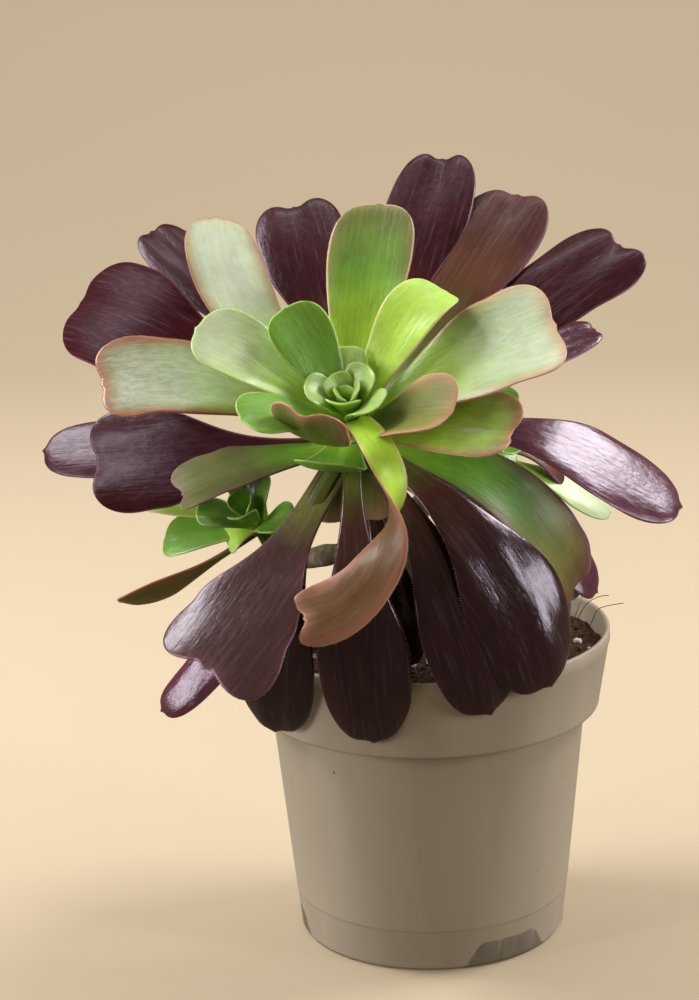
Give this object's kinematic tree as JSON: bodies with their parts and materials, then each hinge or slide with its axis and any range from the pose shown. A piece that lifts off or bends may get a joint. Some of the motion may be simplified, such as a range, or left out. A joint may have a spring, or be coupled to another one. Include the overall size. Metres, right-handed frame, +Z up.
{
  "type": "potted aeonium",
  "caption": "Leaning aeonium with a wide head of long spoon-shaped leaves on a short bent stem, growing in a round tapered grower's pot.",
  "frame": {"origin": "middle of the pot's flat base, on the surface that it stands on", "axes": "+Z up; the big head of leaves leans towards -Y and a little towards -X"},
  "size_m": [0.206, 0.1494, 0.2501],
  "materials": {
    "pot_plastic": "satin",
    "potting_mix": "matte",
    "stem_bark": "matte",
    "purple_leaf": "gloss",
    "green_leaf": "satin",
    "shoot_leaf": "satin"
  },
  "bodies": {
    "root": {"pot": "pot_plastic", "soil": "potting_mix", "stem": "stem_bark", "mature_leaves": "purple_leaf", "young_leaves": "green_leaf", "shoot_left": "shoot_leaf", "shoot_right": "shoot_leaf"}
  },
  "joints": []
}
